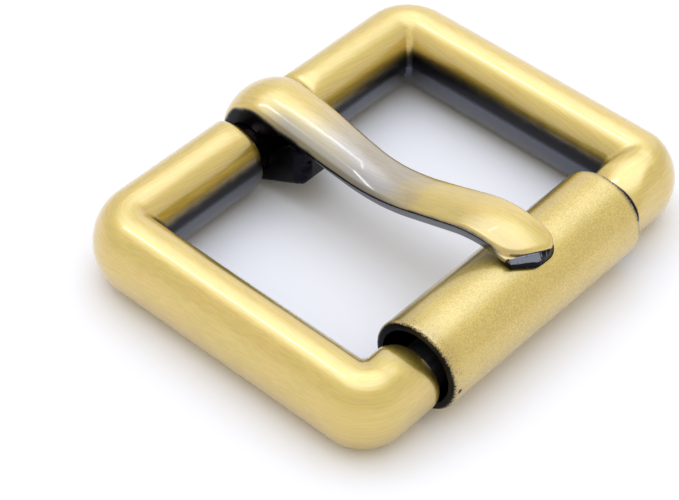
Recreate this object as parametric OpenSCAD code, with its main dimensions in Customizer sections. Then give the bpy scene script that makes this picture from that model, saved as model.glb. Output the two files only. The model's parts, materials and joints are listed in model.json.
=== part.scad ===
// Roller buckle for a 25 mm strap: cast frame, hidden pin, roller and tongue.
// X runs from the prong bar to the roller, Y along the roller, Z up; the frame rests on z = 0.

/* [Frame] */
// Clear width between the two side bars
strap_gap = 26; // [16:0.5:45]
// Distance from the axis of the prong bar to the axis of the roller
reach = 23.1; // [18:0.1:40]
// Width of a bar seen from above
bar_w = 4.86; // [3:0.02:7]
// Height of a bar before its underside is flattened
bar_h = 6.44; // [4:0.02:9]
// Radius of a bar's crest
crest_r = 2.1; // [1:0.05:3]
// Height taken off the underside so that the frame rests on a flat
land = 0.1; // [0.02:0.02:0.4]
// Outside radius of the two corners beside the prong bar
prong_corner = 4.4; // [3.5:0.1:6.5]
// Outside radius of the two corners beside the roller
roller_corner = 3.75; // [3:0.05:6]
// Inside fillet of the two corners beside the roller
inner_fillet = 0.15; // [0.1:0.05:2.2]

/* [Neck] */
// Diameter of the neck that the tongue turns on
neck_d = 3.8; // [2.5:0.1:5]
// Length of the neck between its two shoulders
neck_len = 5.9; // [5:0.1:9]
// Radius that rounds each shoulder
shoulder_round = 1.2; // [0.6:0.1:2]
// Diameter of each shoulder where the neck leaves it
shoulder_d = 4.4; // [4:0.1:4.8]

/* [Stubs] */
// Distance between the ends of the two stubs
stub_gap = 21.3; // [14:0.1:30]
// Diameter of a stub at its end
stub_d = 4.86; // [4:0.02:6]
// Radius of the arc that tapers a stub
stub_taper = 8; // [5:0.5:20]
// Drop of the stub's axis below the axis of the bars
stub_drop = 0.27; // [0:0.01:0.6]

/* [Roller] */
// Outside diameter of the roller
roller_d = 6.9; // [6:0.1:9]
// Bore of the roller
roller_bore = 5.6; // [4.5:0.1:7]
// Length of the roller
roller_len = 20.25; // [12:0.05:29]
// Rounding of the roller's outer rims
roller_rim = 0.25; // [0.1:0.05:0.5]
// Gap between the roller and the stub that it lies beside
roller_side_gap = 0.18; // [0.1:0.01:0.5]
// Height of the roller's underside above the frame's resting plane
roller_lift = 0.1; // [0.05:0.01:0.4]

/* [Pin] */
// Diameter of the hidden pin
pin_d = 3.4; // [2:0.1:4]
// Length of pin seated in each stub
pin_seat = 2.2; // [1.5:0.1:3]
// Clearance round and behind the seated pin
seat_clear = 0.02; // [0.01:0.01:0.05]

/* [Tongue] */
// Width of the tongue
tongue_w = 4; // [3:0.1:5]
// Thickness of the blade at its edges
blade_t = 0.8; // [0.6:0.05:1.2]
// Rise of the blade's crown above its edges
crown = 0.4; // [0.2:0.05:0.8]
// Rounding of the blade's upper edges
edge_r = 0.35; // [0.2:0.05:0.6]
// Radial clearance between the hook's hole and the neck
hook_clear = 0.08; // [0.04:0.01:0.2]
// Wall of the hook beside the neck
hook_wall = 0.87; // [0.6:0.01:1.2]
// Outside radius of the hook's back and crest
hook_r = 3.6; // [3:0.1:5]
// Direction in which the crest leans from the neck
hook_lean = 30; // [10:1:50]
// Height of the hook's flattened underside above the resting plane
hook_lift = 0.15; // [0.1:0.01:0.4]
// Distance from the neck's axis to the end of the lip
lip_len = 5.3; // [4.5:0.1:6.5]
// Rise of the lip's underside
lip_rise = 27; // [15:1:40]
// Rounding of the lip's lower corner
lip_round = 0.5; // [0.2:0.1:1]
// Slot between the lip and the blade
slot_h = 0.2; // [0.15:0.05:0.5]
// Where the slot starts to open into a wedge, as a part of the lip's length
mouth_at = 0.75; // [0.6:0.01:0.9]
// Where the wedge's upper side reaches the blade, as a part of the lip's length
wedge_at = 0.58; // [0.45:0.01:0.7]
// Direction from the neck's axis of the wedge's upper corner
wedge_high = 62; // [50:1:70]
// Direction from the neck's axis of the wedge's lower corner
wedge_low = 15; // [0:1:25]
// Radius of the hollow between hook and roller
dip_r = 13.7; // [10:0.1:20]
// Lowest point of the hollow, as a part of the reach
dip_at = 0.467; // [0.4:0.001:0.6]
// Drop of the hollow's edges below the top of the frame
dip_drop = 0.28; // [0:0.02:1]
// Radius of the hump over the roller
hump_r = 9; // [7:0.1:12]
// Direction from the roller's axis in which the tongue lies nearest to it
tip_lean = 22; // [10:1:35]
// Gap between the resting tongue and the roller
rest_gap = 0.12; // [0.05:0.01:0.3]
// Length of the tongue past the roller's axis
tip_over = 1.95; // [1:0.05:3]
// Radius of the tip seen from above
tip_r = 2.25; // [2:0.05:4]

/* [Hidden] */
$fn = 96;
// side of the blocks that trim a piece, well past its outline
span = 3 * (reach + strap_gap);
// how far a surface sinks under the one that it runs into
sink = 0.01;
// how far the straight parts of the blade run on into the arcs
lap = 0.05;
// how far the hook's flanks lie inside the blade's
flank_step = 0.03;
// how far the blade's last arc runs on past the rounded tip, in degrees
tip_past = 4;
// how far the wedge's corners lie inside the hook's hole, as a part of its radius
wedge_bite = 0.95;
// end of the blade's arc round the hook, below the hook's flattened underside
hook_end = 246;
half_w = bar_w / 2;
half_h = bar_h / 2;
bar_z = half_h - land;
side_y = strap_gap / 2 + half_w;
neck_x = -reach / 2;
roller_x = reach / 2;
rc_prong = prong_corner - half_w;
rc_roller = roller_corner - half_w;
rc_fillet = inner_fillet + half_w;
stub_z = bar_z - stub_drop;
stub_y = stub_gap / 2;
stub_fat = half_h + stub_drop + lap;
roller_r = roller_d / 2;
roller_z = roller_lift + roller_r;
roller_y = -stub_y + roller_side_gap + roller_len / 2;

// bar section: crest circles joined by side arcs that touch them
crest_up = half_h - crest_r;
touch_r = crest_r - sink;
side_r = (half_w * half_w + crest_up * crest_up - touch_r * touch_r) / (2 * (half_w - touch_r));
side_in = side_r - half_w;
side_ang = atan2(crest_up, side_in);

// tongue path: centres of the hook's arc, the hollow and the hump, in the X-Z plane
hole_r = neck_d / 2 + hook_clear;
hook_out = hole_r + hook_wall;
hook_c = [neck_x, bar_z] + (hook_r - hook_out) * [cos(hook_lean), sin(hook_lean)];
dip_c = [neck_x + dip_at * reach, bar_z + half_h - dip_drop + dip_r];
hump_c = [roller_x, roller_z]
    - (hump_r - blade_t - rest_gap - roller_r) * [sin(tip_lean), cos(tip_lean)];
fall = direction(dip_c - hook_c) - asin((hook_r + dip_r) / norm(dip_c - hook_c));
climb = direction(hump_c - dip_c) + asin((dip_r + hump_r) / norm(hump_c - dip_c));
fall_from = hook_c + hook_r * [-sin(fall), cos(fall)];
fall_to = dip_c - dip_r * [-sin(fall), cos(fall)];
climb_from = dip_c - dip_r * [-sin(climb), cos(climb)];
climb_to = hump_c + hump_r * [-sin(climb), cos(climb)];
tip_x = roller_x + tip_over;
tip_ang = acos((tip_x - hump_c[0]) / hump_r) - tip_past;
crown_r = (tongue_w * tongue_w / 4 + crown * crown) / (2 * crown);
edge_y = tongue_w / 2 - edge_r;
edge_x = crown - crown_r + sqrt(pow(crown_r - edge_r + sink, 2) - edge_y * edge_y);
flank_y = tongue_w / 2 - sink;
hook_flank_y = flank_y - flank_step;
lip_x = neck_x + lip_len;

// Part to draw

function direction(v) = atan2(v[1], v[0]);

// height of the blade's falling edge line at x
function fall_z(x) = fall_from[1] + tan(fall) * (x - fall_from[0]);

// height of the lip's underside at x
function lip_z(x) = bar_z - hook_out / cos(lip_rise) + tan(lip_rise) * (x - neck_x);

// oval section of a bar, width along x and height along y
module bar_section() {
    for (s = [-1, 1]) {
        translate([0, s * crest_up])
            circle(crest_r);
    }
    intersection() {
        translate([side_in, 0])
            circle(side_r);
        translate([-side_in, 0])
            circle(side_r);
        square([bar_w, 2 * side_r * sin(side_ang)], center = true);
    }
}

// straight bar along X from x = 0, its inner side towards +Y
module bar(length) {
    rotate([90, 0, 90])
        linear_extrude(length)
            bar_section();
}

// quarter turn of the bar about the Z axis, kept on one side of it
module corner(rc) {
    rotate_extrude(angle = 90)
        intersection() {
            translate([rc, 0])
                bar_section();
            translate([0, -half_h])
                square([rc + half_w, bar_h]);
        }
}

// the inner strip of a bar that runs on past a tight corner's centre to the mitre
module mitre_strip(rc) {
    rotate([90, 0, 90])
        linear_extrude(half_w - rc)
            intersection() {
                bar_section();
                translate([rc, -half_h])
                    square([half_w - rc, bar_h]);
            }
}

// round body about the Y axis from y = 0, tapering by an arc from fat_r at the back to end_r at y = 0
module taper(fat_r, end_r, arc_r, length) {
    back = sqrt(arc_r * arc_r - pow(end_r - fat_r + arc_r, 2));
    rotate([90, 0, 0])
        rotate_extrude()
            union() {
                intersection() {
                    translate([fat_r - arc_r, back])
                        circle(arc_r);
                    square([fat_r, back]);
                }
                translate([0, back])
                    square([fat_r, length - back]);
            }
}

// half of the prong bar on the -Y side, ending in a rounded shoulder
module prong_bar_half() {
    far = side_y - rc_prong;
    intersection() {
        translate([0, -far, 0])
            rotate([0, 0, 90])
                bar(far - neck_len / 2);
        translate([0, -neck_len / 2, 0])
            taper(half_h, shoulder_d / 2, shoulder_round, far);
    }
}

// stub and inner fillet on the -Y side, both inside the stub's tapering body
module stub_half() {
    far = side_y - rc_roller;
    intersection() {
        union() {
            translate([0, -far, 0])
                rotate([0, 0, 90])
                    bar(far - stub_y);
            translate([-rc_fillet, -side_y + rc_fillet, 0])
                rotate([0, 0, -90])
                    corner(rc_fillet);
        }
        translate([0, -stub_y, -stub_drop])
            taper(stub_fat, stub_d / 2, stub_taper, far);
    }
}

// the -Y half of the frame, with the bars' axes at z = 0
module frame_half() {
    translate([neck_x + rc_prong, -side_y, 0])
        bar(reach - rc_prong - rc_roller);
    translate([neck_x + rc_prong, -side_y + rc_prong, 0]) {
        rotate([0, 0, 180])
            corner(rc_prong);
    }
    translate([neck_x + rc_prong, -side_y, 0])
        mirror([1, 0, 0])
            mitre_strip(rc_prong);
    translate([neck_x, -side_y + rc_prong, 0])
        rotate([0, 0, -90])
            mitre_strip(rc_prong);
    translate([roller_x - rc_roller, -side_y + rc_roller, 0])
        rotate([0, 0, -90])
            corner(rc_roller);
    translate([neck_x, 0, 0])
        prong_bar_half();
    translate([roller_x, 0, 0])
        stub_half();
}

module frame() {
    color("#b79a56")
        difference() {
            union() {
                translate([0, 0, bar_z]) {
                    frame_half();
                    mirror([0, 1, 0])
                        frame_half();
                }
                translate([neck_x, 0, bar_z])
                    rotate([90, 0, 0])
                        cylinder(d = neck_d, h = neck_len + 2 * shoulder_round, center = true);
            }
            translate([roller_x, 0, stub_z])
                rotate([90, 0, 0])
                    cylinder(
                        d = pin_d + 2 * seat_clear,
                        h = stub_gap + 2 * (pin_seat + seat_clear),
                        center = true
                    );
            translate([-span / 2, -span / 2, -span])
                cube(span);
        }
}

module roller_pin() {
    color("#8d8f92")
        translate([roller_x, 0, stub_z])
            rotate([90, 0, 0])
                cylinder(d = pin_d, h = stub_gap + 2 * pin_seat, center = true);
}

module roller() {
    flat = roller_len - 2 * roller_rim;
    color("#c2a661")
        translate([roller_x, roller_y, roller_z])
            rotate([90, 0, 0])
                rotate_extrude()
                    union() {
                        translate([roller_bore / 2, -roller_len / 2])
                            square([(roller_d - roller_bore) / 2 - roller_rim, roller_len]);
                        translate([roller_bore / 2, -flat / 2])
                            square([(roller_d - roller_bore) / 2, flat]);
                        for (s = [-1, 1]) {
                            translate([roller_r - roller_rim, s * flat / 2])
                                circle(roller_rim);
                        }
                    }
}

// blade section: height along x from the path, width along y, crown and rounded edges upwards
module blade_section(inset = 0) {
    strip = edge_y * crown_r / (crown_r - edge_r + sink);
    intersection() {
        translate([crown - crown_r, 0])
            circle(crown_r - inset);
        translate([-blade_t + inset, -strip])
            square([blade_t + crown, 2 * strip]);
    }
    translate([-blade_t + inset, -flank_y + inset])
        square([blade_t - inset + edge_x, 2 * (flank_y - inset)]);
    for (s = [-1, 1]) {
        translate([edge_x, s * edge_y])
            circle(edge_r - inset);
    }
}

// part of the blade bent round centre c, from angle a0 to a1, with the crown outwards (1) or inwards (-1)
module blade_arc(c, r, a0, a1, out) {
    translate([c[0], 0, c[1]])
        rotate([90, 0, 0])
            rotate([0, 0, a0])
                rotate_extrude(angle = a1 - a0)
                    translate([r, 0])
                        mirror([out < 0 ? 1 : 0, 0])
                            blade_section();
}

// straight part of the blade between two points of the path, sunk into its neighbours
module blade_line(p, q) {
    step = lap * (q - p) / norm(q - p);
    translate([p[0] - step[0], 0, p[1] - step[1]])
        rotate([0, 90 - direction(q - p), 0])
            linear_extrude(norm(q - p) + 2 * lap)
                mirror([1, 0])
                    blade_section(sink);
}

// side view of the hook below the blade, in the X-Z plane
module hook_side() {
    under = -blade_t / 2;
    round_x = lip_x - lip_round;
    round_z = lip_z(round_x) + lip_round / cos(lip_rise);
    low_x = round_x + lip_round * sin(lip_rise);
    inside = wedge_bite * hole_r;
    wedge_x = neck_x + wedge_at * lip_len;
    mouth_x = neck_x + mouth_at * lip_len;
    past_x = lip_x + lip_round;
    difference() {
        union() {
            intersection() {
                translate(hook_c)
                    circle(hook_r - blade_t / 2);
                polygon([
                    [neck_x - 2 * hook_r, hook_lift],
                    [neck_x - hook_r, lip_z(neck_x - hook_r)],
                    [lip_x, lip_z(lip_x)],
                    [lip_x, fall_z(lip_x) + under],
                    [fall_from[0], fall_from[1] + under],
                    [fall_from[0], bar_z + 2 * hook_r],
                    [neck_x - 2 * hook_r, bar_z + 2 * hook_r]
                ]);
            }
            polygon([
                [neck_x, lip_z(neck_x)],
                [low_x, lip_z(low_x)],
                [round_x, round_z],
                [lip_x, round_z],
                [lip_x, fall_z(lip_x) + under],
                [fall_from[0], fall_from[1] + under],
                [neck_x, bar_z]
            ]);
            translate([round_x, round_z])
                circle(lip_round + sink);
            translate([neck_x, bar_z])
                circle(hook_out);
        }
        translate([neck_x, bar_z])
            circle(hole_r);
        polygon([
            [neck_x + inside * cos(wedge_high), bar_z + inside * sin(wedge_high)],
            [wedge_x, fall_z(wedge_x) - blade_t],
            [past_x, fall_z(past_x) - blade_t],
            [past_x, fall_z(past_x) - blade_t - slot_h],
            [mouth_x, fall_z(mouth_x) - blade_t - slot_h],
            [neck_x + inside * cos(wedge_low), bar_z + inside * sin(wedge_low)]
        ]);
    }
}

module tongue() {
    color("#b79a56") {
        intersection() {
            union() {
                blade_arc(hook_c, hook_r, 90 + fall, hook_end, 1);
                rotate([90, 0, 0])
                    linear_extrude(2 * hook_flank_y, center = true)
                        hook_side();
            }
            translate([-span / 2, -span / 2, hook_lift])
                cube(span);
        }
        blade_line(fall_from, fall_to);
        blade_arc(dip_c, dip_r, fall - 90, climb - 90, -1);
        blade_line(climb_from, climb_to);
        intersection() {
            blade_arc(hump_c, hump_r, tip_ang, 90 + climb, 1);
            linear_extrude(span)
                union() {
                    translate([tip_x - tip_r - span, -tip_r])
                        square([span, 2 * tip_r]);
                    translate([tip_x - tip_r, 0])
                        circle(tip_r);
                }
        }
    }
}

frame();
roller_pin();
roller();
tongue();
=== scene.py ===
# %% [markdown]
# # Dressing a roller buckle
#
# A roller buckle has four pieces: a cast frame, a hidden pin, a loose tube that rolls on
# the pin, and a tongue whose hook turns on the frame's thin neck. The CAD model has fixed
# their sizes and places. This lesson gives each piece its smooth skin, its plating and its
# wear, and lights the buckle on a white studio table.
#
# The first cell loads the packed CAD model. Its frame is used all through: X runs from the
# prong bar to the roller, Y along the roller, Z up from the table. Sizes are written in
# millimetres and multiplied by MM for Blender, which takes metres.

# %% Load the packed model
import json
from math import asin, atan2, copysign, cos, degrees, pi, radians, sin, sqrt, tan, tau

import bmesh
import bpy
from mathutils import Matrix, Vector
from mathutils.geometry import delaunay_2d_cdt

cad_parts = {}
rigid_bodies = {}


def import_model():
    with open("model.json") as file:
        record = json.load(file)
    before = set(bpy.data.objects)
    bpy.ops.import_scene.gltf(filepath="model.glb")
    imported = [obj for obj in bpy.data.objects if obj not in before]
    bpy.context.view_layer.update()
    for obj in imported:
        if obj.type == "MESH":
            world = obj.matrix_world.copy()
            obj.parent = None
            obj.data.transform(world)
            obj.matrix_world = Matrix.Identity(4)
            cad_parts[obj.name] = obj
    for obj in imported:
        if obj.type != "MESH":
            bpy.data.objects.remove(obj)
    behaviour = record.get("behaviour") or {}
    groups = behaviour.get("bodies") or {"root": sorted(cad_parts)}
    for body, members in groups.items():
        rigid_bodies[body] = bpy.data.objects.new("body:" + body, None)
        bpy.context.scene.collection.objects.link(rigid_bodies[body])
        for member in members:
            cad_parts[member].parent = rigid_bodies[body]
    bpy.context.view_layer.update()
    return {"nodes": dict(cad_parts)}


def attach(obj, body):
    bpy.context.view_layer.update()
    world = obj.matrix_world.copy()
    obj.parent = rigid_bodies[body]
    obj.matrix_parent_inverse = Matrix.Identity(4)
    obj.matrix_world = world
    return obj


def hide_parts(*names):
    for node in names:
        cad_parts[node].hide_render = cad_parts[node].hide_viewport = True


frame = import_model()
MM = 0.001
scene = bpy.context.scene
print("CAD nodes:", sorted(frame["nodes"]))

# %% [markdown]
# ## The camera
#
# The view is from above the near side bar, a little to the roller's side. Its place, its
# angles and a slight roll were fitted to the buckle's outline. A long lens keeps the
# parallel bars nearly parallel.

# %% Camera
AZIMUTH, ELEVATION, ROLL = 40.43, 44.58, radians(2.05)
LOOK_AT, DISTANCE = Vector((-0.026, -4.979, 2.562)) * MM, 160.28 * MM
LENS, SENSOR = 121.84, 36
NEAREST, FURTHEST = 0.01, 50


def sky_direction(azimuth, elevation):
    """The unit vector towards a place in the sky, given by two angles in degrees."""
    a, e = radians(azimuth), radians(elevation)
    return Vector((sin(a) * cos(e), -cos(a) * cos(e), sin(e)))


def add_object(name, data):
    thing = bpy.data.objects.new(name, data)
    scene.collection.objects.link(thing)
    return thing


def stand(thing, place, right, above, back):
    """Puts a camera or a lamp at a place, facing away from its back vector."""
    turn = Matrix((right, above, back)).transposed().to_4x4()
    thing.matrix_world = Matrix.Translation(place) @ turn


back = sky_direction(AZIMUTH, ELEVATION)
level = sky_direction(AZIMUTH + 90, 0)
upright = back.cross(level)
right = level * cos(ROLL) + upright * sin(ROLL)
above = upright * cos(ROLL) - level * sin(ROLL)

camera = add_object("camera", bpy.data.cameras.new("camera"))
stand(camera, LOOK_AT + back * DISTANCE, right, above, back)
camera.data.lens, camera.data.sensor_width = LENS, SENSOR
camera.data.clip_start, camera.data.clip_end = NEAREST, FURTHEST
scene.camera = camera
print("camera at", [round(v, 4) for v in camera.location], "m")

# %% [markdown]
# ## Table and light
#
# Polished metal shows its surroundings, so the light is half of the look.
# The table is a pale plane. Two narrow strip lamps add the thin bright lines: one on the
# side bars, one down the middle of the tongue. Each lies between two places in the sky.

# %% Table and strip lamps
TABLE_HALF, TABLE_COLOUR = 2.5, (0.85, 0.82, 0.775, 1)
LAMP_DISTANCE, LAMP_COLOUR = 0.6, (0.95, 0.98, 1.0)


def new_material(name, **values):
    """A material with one Principled shader; an underscore stands for a space."""
    material = bpy.data.materials.new(name)
    material.use_nodes = True
    shader = material.node_tree.nodes["Principled BSDF"]
    for key, value in values.items():
        shader.inputs[key.replace("_", " ")].default_value = value
    return material, material.node_tree, shader


def strip_lamp(name, first, last, width, radiance):
    start, end = (sky_direction(*place) * LAMP_DISTANCE for place in (first, last))
    run, away = (end - start).normalized(), ((start + end) / 2).normalized()
    data = bpy.data.lights.new(name, "AREA")
    data.shape = "RECTANGLE"
    data.size, data.size_y = width, (end - start).length
    data.energy = radiance * pi * data.size * data.size_y
    data.color = LAMP_COLOUR
    stand(add_object(name, data), (start + end) / 2, run.cross(away), run, away)
    print(f"{name}: {data.size_y:.2f} m long, {data.energy:.2f} W")


table_mesh = bpy.data.meshes.new("table")
corners = [(x * TABLE_HALF, y * TABLE_HALF, 0) for x, y in ((-1, -1), (1, -1), (1, 1), (-1, 1))]
table_mesh.from_pydata(corners, [], [(0, 1, 2, 3)])
table_mesh.materials.append(new_material(
    "white_table", Base_Color=TABLE_COLOUR, Roughness=0.9, Specular_IOR_Level=0.1)[0])
table = add_object("table", table_mesh)
strip_lamp("bar_line", (-75, 52), (-75, 69), 0.03, 6.0)
strip_lamp("blade_line", (-114, 66), (-140, 61), 0.011, 5.0)

# %% [markdown]
# ## Formulas as nodes
#
# Geometry Nodes and materials are both made of small maths nodes. This class lets a
# formula be written as plain arithmetic: each sign adds a Math node and links it.

# %% Formulas as nodes
class Field:
    """A number or vector that flows through a node tree."""

    def __init__(self, tree, socket):
        self.tree, self.socket = tree, socket

    def math(self, operation, *others):
        node = self.tree.nodes.new("ShaderNodeMath")
        node.operation = operation
        for place, value in enumerate((self, *others)):
            plug(value, node.inputs[place])
        return Field(self.tree, node.outputs[0])

    def vector(self, operation, other):
        """Vector maths with another vector, or with a number where the vector is scaled."""
        node = self.tree.nodes.new("ShaderNodeVectorMath")
        node.operation = operation
        plug(self, node.inputs[0])
        plug(other, node.inputs["Scale" if operation == "SCALE" else 1])
        return Field(self.tree, node.outputs["Value" if operation == "DOT_PRODUCT" else "Vector"])

    def __add__(self, other): return self.math("ADD", other)
    def __sub__(self, other): return self.math("SUBTRACT", other)
    def __rsub__(self, other): return -self + other
    def __mul__(self, other): return self.math("MULTIPLY", other)
    def __truediv__(self, other): return self.math("DIVIDE", other)
    def __neg__(self): return self.math("MULTIPLY", -1.0)
    __radd__ = __add__

    def parts(self):
        node = add_node(self.tree, "ShaderNodeSeparateXYZ", Vector=self)
        return [Field(self.tree, out) for out in node.outputs]


def plug(value, socket):
    """Links a field to a socket, or writes a plain value into it."""
    if isinstance(value, Field):
        value.tree.links.new(value.socket, socket)
    else:
        socket.default_value = value


def add_node(tree, kind, settings=None, **inputs):
    """Adds a node with settings and inputs; an underscore stands for a space."""
    node = tree.nodes.new(kind)
    for key, value in (settings or {}).items():
        setattr(node, key, value)
    for key, value in inputs.items():
        plug(value, node.inputs[key.replace("_", " ")])
    return node


def pack_xyz(*parts):
    """A vector from three parts, of which at least one is a field."""
    tree = next(part.tree for part in parts if isinstance(part, Field))
    node = add_node(tree, "ShaderNodeCombineXYZ", **dict(zip("XYZ", parts)))
    return Field(tree, node.outputs[0])


def largest(first, *others):
    for other in others:
        first = first.math("MAXIMUM", other)
    return first


def root(x):
    return largest(x, 0.0).math("SQRT")


def ramp(x, low, high):
    """0 below low, 1 above high, and a smooth rise between."""
    node = add_node(
        x.tree, "ShaderNodeMapRange", {"interpolation_type": "SMOOTHSTEP"},
        Value=x, From_Min=low, From_Max=high)
    return Field(x.tree, node.outputs["Result"])


print("steps of a field:", *(name for name in vars(Field) if name.isalpha()))

# %% [markdown]
# ## The glows in the sky
#
# The sky is white, with two soft glows: a large one overhead, a little cooler, that makes
# the broad shine along each crest, and a weaker one behind. A glow fades out at its rim,
# where an area lamp would show a hard corner in every bar. The angle between a direction
# and the glow's middle decides how much is added to the plain white.

# %% World
# Azimuth, elevation, and the angles where the glow starts to fade and has faded out
OVERHEAD, BEHIND = (-125, 80, 22, 48), (-153, 20, 8, 34)
# Red, green and blue: strength of the glow overhead and behind, and the plain sky
SKY = (0.9, 0.3, 0.95), (1.1, 0.32, 0.94), (1.65, 0.4, 0.91)


def glow(direction, azimuth, elevation, core, rim):
    angle = direction.vector("DOT_PRODUCT", sky_direction(azimuth, elevation)).math("ARCCOSINE")
    return 1 - ramp(angle, radians(core), radians(rim))


world = bpy.data.worlds.new("studio")
scene.world = world
world.use_nodes = True
sky = world.node_tree
direction = Field(sky, add_node(sky, "ShaderNodeTexCoord").outputs["Generated"])
overhead, behind = glow(direction, *OVERHEAD), glow(direction, *BEHIND)
background = sky.nodes["Background"]
plug(pack_xyz(*(overhead * high + behind * low + white for high, low, white in SKY)),
     background.inputs["Color"])
background.inputs["Strength"].default_value = 1.0
scene.view_settings.view_transform = "Standard"
print("sky:", len(sky.nodes), "nodes")

# %% [markdown]
# ## Trees with named inputs
#
# A Geometry Nodes tree is easier to reuse when its sizes are named inputs. The class below
# makes such a tree and holds the steps that the pieces share. Each piece starts from a
# lattice, a flat grid with one row for each point of a route, and a lattice point reads by
# its row what the route's point carries. The last step welds the seams. A tree runs once
# and leaves a plain mesh behind.

# %% Trees with named inputs
VECTOR = "FLOAT_VECTOR"
WELD = 0.001 * MM


class Tree:
    """A Geometry Nodes tree that turns a route and named sizes into a mesh."""

    def __init__(self, name, counts, lengths=()):
        self.group = bpy.data.node_groups.new(name, "GeometryNodeTree")
        face = self.group.interface
        face.new_socket(name="Route", in_out="INPUT", socket_type="NodeSocketGeometry")
        kinds = {**dict.fromkeys(counts, "Int"), **dict.fromkeys(lengths, "Float")}
        kinds["Finish"] = "Material"
        self.ids = {}
        for label, kind in kinds.items():
            socket = face.new_socket(name=label, in_out="INPUT", socket_type="NodeSocket" + kind)
            self.ids[label] = socket.identifier
        face.new_socket(name="Mesh", in_out="OUTPUT", socket_type="NodeSocketGeometry")
        self.start = self.group.nodes.new("NodeGroupInput")
        self.end = self.group.nodes.new("NodeGroupOutput")
        self.route = self.size("Route")

    def add(self, kind, settings=None, **inputs):
        return Field(self.group, add_node(self.group, kind, settings, **inputs).outputs[0])

    def size(self, label):
        return Field(self.group, self.start.outputs[label])

    def lattice(self, rows, columns, closed=True):
        """A grid, and each point's column; a closed grid ends with its first row again."""
        lines = rows + 1 if closed else rows
        grid = self.add(
            "GeometryNodeMeshGrid", Size_X=1.0, Size_Y=1.0, Vertices_X=lines, Vertices_Y=columns)
        index = self.add("GeometryNodeInputIndex")
        line = ((index + 0.5) / columns).math("FLOOR")
        self.row = line.math("MODULO", rows) if closed else line
        return grid, index - line * columns

    def here(self, name, kind="FLOAT"):
        """A point's own attribute, or its place for the name at."""
        if name == "at":
            return self.add("GeometryNodeInputPosition")
        return self.add("GeometryNodeInputNamedAttribute", {"data_type": kind}, Name=name)

    def at_row(self, name, kind="FLOAT"):
        """The same, of the route's point that a lattice point's row stands for."""
        return self.add(
            "GeometryNodeSampleIndex", {"data_type": kind},
            Geometry=self.route, Index=self.row, Value=self.here(name, kind))

    def move(self, geometry, position):
        return self.add("GeometryNodeSetPosition", Geometry=geometry, Position=position)

    def store(self, geometry, name, value, kind=VECTOR):
        return self.add(
            "GeometryNodeStoreNamedAttribute", {"data_type": kind, "domain": "POINT"},
            Geometry=geometry, Name=name, Value=value)

    def finish(self, geometry):
        welded = self.add("GeometryNodeMergeByDistance", Geometry=geometry, Distance=WELD)
        smooth = self.add("GeometryNodeSetShadeSmooth", Geometry=welded)
        dressed = self.add(
            "GeometryNodeSetMaterial", Geometry=smooth, Material=self.size("Finish"))
        plug(dressed, self.end.inputs[0])
        print(f"{self.group.name}: {len(self.group.nodes)} nodes")

    def run(self, name, route, values):
        """Runs the tree on a route, with values stored by the identifiers of its sockets."""
        piece = add_object(name, route)
        modifier = piece.modifiers.new("rule", "NODES")
        modifier.node_group = self.group
        for label, value in values.items():
            modifier[self.ids[label]] = value
        ready = piece.evaluated_get(bpy.context.evaluated_depsgraph_get())
        plain = bpy.data.meshes.new_from_object(ready)
        piece.modifiers.clear()
        piece.data = plain
        plain.name = name
        return piece


def route_mesh(stations, faces=()):
    """Points with named attributes: the route that a section is hung on."""
    mesh = bpy.data.meshes.new("route")
    mesh.from_pydata([s["at"] for s in stations], [], list(faces))
    for key, first in stations[0].items():
        if key == "at":
            continue
        vector = isinstance(first, Vector)
        layer = mesh.attributes.new(key, VECTOR if vector else "FLOAT", "POINT")
        for item, station in zip(layer.data, stations):
            setattr(item, "vector" if vector else "value", station[key])
    return mesh


print("steps of a tree:", *(name for name in vars(Tree) if name[0] != "_"))

# %% [markdown]
# ## The sizes of the frame
#
# The cast frame is one bar bent round four corners. Its two ends are the stubs that hold
# the roller's pin, and in the middle of the prong bar it thins to the neck. The oxide on
# the inner faces starts at an angle above the level: high on the side bars, low on the
# prong bar, and lower on the far side.

# %% Sizes of the frame, in mm and degrees
STRAP_GAP, REACH = 26.0, 23.1
BAR_WIDTH, BAR_HEIGHT, CREST, LAND = 4.86, 6.44, 2.1, 0.1
PRONG_CORNER, ROLLER_CORNER, INNER_CORNER = 4.4, 3.75, 0.45
NECK_D, NECK_LEN, SHOULDER_ROUND, SHOULDER_D = 3.8, 5.9, 1.2, 4.4
STUB_GAP, STUB_D, STUB_TAPER, STUB_DROP, STUB_EDGE, STUB_SWELL = 21.3, 4.86, 8.0, 0.27, 0.22, 0.05
PIN_HOLE_D, PIN_HOLE_DEEP, HOLE_FLOOR_R, HOLE_MOUTH_R = 3.44, 2.22, 0.05, 0.06
SIDE_DARK, PRONG_DARK, STUB_DARK, FAR_LESS = 34.0, 13.0, 10.0, 18.5
FREE = 9.0  # a reach so large that it doesn't trim the section

HALF_W, HALF_H = BAR_WIDTH / 2, BAR_HEIGHT / 2
BAR_Z = HALF_H - LAND
SIDE_Y = STRAP_GAP / 2 + HALF_W
NECK_X, ROLLER_X = -REACH / 2, REACH / 2
RC_PRONG, RC_ROLLER = PRONG_CORNER - HALF_W, ROLLER_CORNER - HALF_W
STUB_LEN = SIDE_Y - RC_ROLLER - STUB_GAP / 2
print(f"side bars at y = {SIDE_Y:.2f} mm either way, stubs {STUB_LEN:.2f} mm long")

# %% [markdown]
# ## Stations of a stub and of a corner
#
# The route is a list of stations. Each says where the bar's axis is, which way is outward,
# how far the section may reach from its axis and how much it is let down, how the points on
# the inside slip along the bar near a corner, and how much oxide is left. The route starts
# inside the pin's hole, so that the hole belongs to the same skin.

# %% Stations of a stub and of a corner
# How far along the bar the slip of a corner is felt, in mm, at either end of a side bar
ROLLER_FADE, PRONG_FADE = 2.6, 1.7
EDGE_STEPS, STUB_STEPS, CORNER_STEPS = 6, 14, 16


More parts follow.
